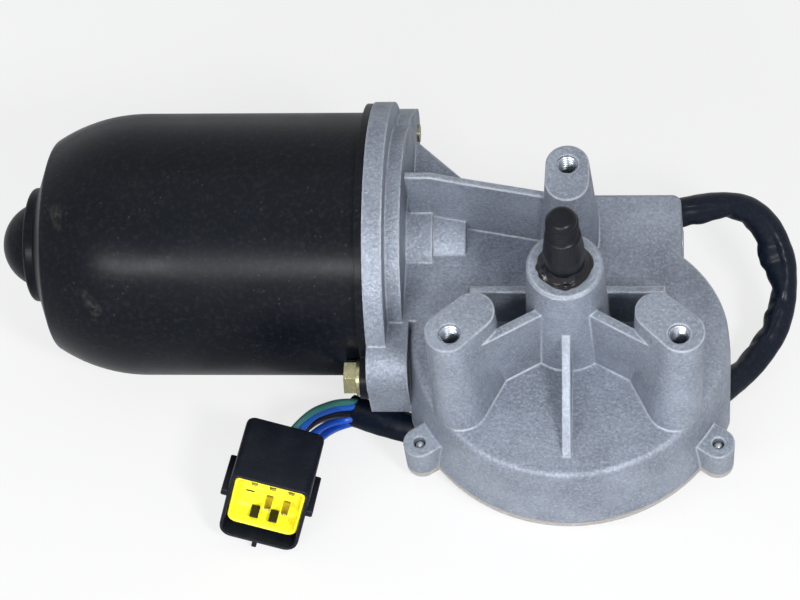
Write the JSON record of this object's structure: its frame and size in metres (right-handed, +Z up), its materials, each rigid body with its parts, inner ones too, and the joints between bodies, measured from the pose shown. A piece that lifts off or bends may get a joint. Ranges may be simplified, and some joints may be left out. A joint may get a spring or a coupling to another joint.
{
  "type": "wiper motor",
  "caption": "Windscreen wiper motor: permanent magnet motor with a worm gearbox, threaded output shaft and a cable with a plug.",
  "frame": {"origin": "middle of the bounding box of the motor unit, without the free cable, at the bench surface it lies on", "axes": "+Z up from the bench the unit lies on, +X from the motor towards the closed end of the worm gearbox, +Y towards the rear bolt ear"},
  "size_m": [0.2668, 0.1537, 0.1166],
  "materials": {
    "casting": "die cast, lightly shot blasted, speckled",
    "gasket": "matt fibre and rubber sheet",
    "cover_steel": "zinc plated sheet",
    "zinc_steel": "zinc plated",
    "shaft_steel": "ground steel",
    "sinter_bronze": "oiled sintered bronze",
    "rubber": "matt moulded rubber",
    "spring_steel": "spring steel strip",
    "gear_plastic": "natural acetal",
    "contact_brass": "bright brass strip",
    "carrier_plastic": "moulded phenolic",
    "yoke_paint": "semi gloss black enamel on drawn steel",
    "yellow_zinc": "yellow passivated zinc",
    "ferrite": "sintered ferrite",
    "core_steel": "stacked laminations",
    "copper": "enamelled copper",
    "carbon": "copper graphite",
    "bearing_steel": "polished bearing steel",
    "sleeve_plastic": "matt black cable sleeve",
    "lead_plastic": "soft extruded insulation",
    "connector_black": "moulded nylon",
    "connector_yellow": "moulded nylon"
  },
  "bodies": {
    "motor_unit": {"gear_housing": "casting", "cover_gasket": "gasket", "gear_cover": "cover_steel", "cover_screws": "zinc_steel", "output_bush_lower": "sinter_bronze", "output_bush_upper": "sinter_bronze", "shaft_seal": "rubber", "thrust_washer": "spring_steel", "contact_carrier": "carrier_plastic", "contact_fingers": "contact_brass", "motor_yoke": "yoke_paint", "yoke_bolts": "yellow_zinc", "bolt_washers": "yellow_zinc", "magnets": "ferrite", "magnet_clips": "spring_steel", "brush_plate": "carrier_plastic", "brush_holders": "contact_brass", "brushes": "carbon", "brush_springs": "spring_steel", "bearing_outer_ring": "bearing_steel", "bearing_shields": "bearing_steel", "end_bush": "sinter_bronze", "thrust_screw": "zinc_steel", "rear_bush": "sinter_bronze", "bush_retainer": "spring_steel", "cable_boot": "rubber", "cable_sleeve": "sleeve_plastic", "connector_leads": "lead_plastic", "connector_housing": "connector_black", "connector_insert": "connector_yellow", "connector_terminals": "contact_brass", "wire_seal": "rubber"},
    "output": {"output_shaft": "shaft_steel", "wheel_hub": "shaft_steel", "worm_wheel": "gear_plastic", "park_disc": "contact_brass", "shaft_circlip": "spring_steel"},
    "armature": {"armature_shaft": "shaft_steel", "armature_core": "core_steel", "armature_windings": "copper", "commutator": "copper", "bearing_inner_ring": "bearing_steel"}
  },
  "joints": [
    {"name": "armature_spin", "type": "hinge", "parent": "motor_unit", "child": "armature", "pos_m": [0.06763, 0.01566, 0.04997], "axis": [0.9989, 0, 0.0459], "continuous": true},
    {"name": "output_spin", "type": "hinge", "parent": "motor_unit", "child": "output", "pos_m": [0.0662, -0.04024, 0.08116], "axis": [-0.0425, -0.3771, 0.9252], "continuous": true}
  ],
  "couplings": [
    {"joint": "output_spin", "follows": "armature_spin", "ratio": 0.020833}
  ]
}
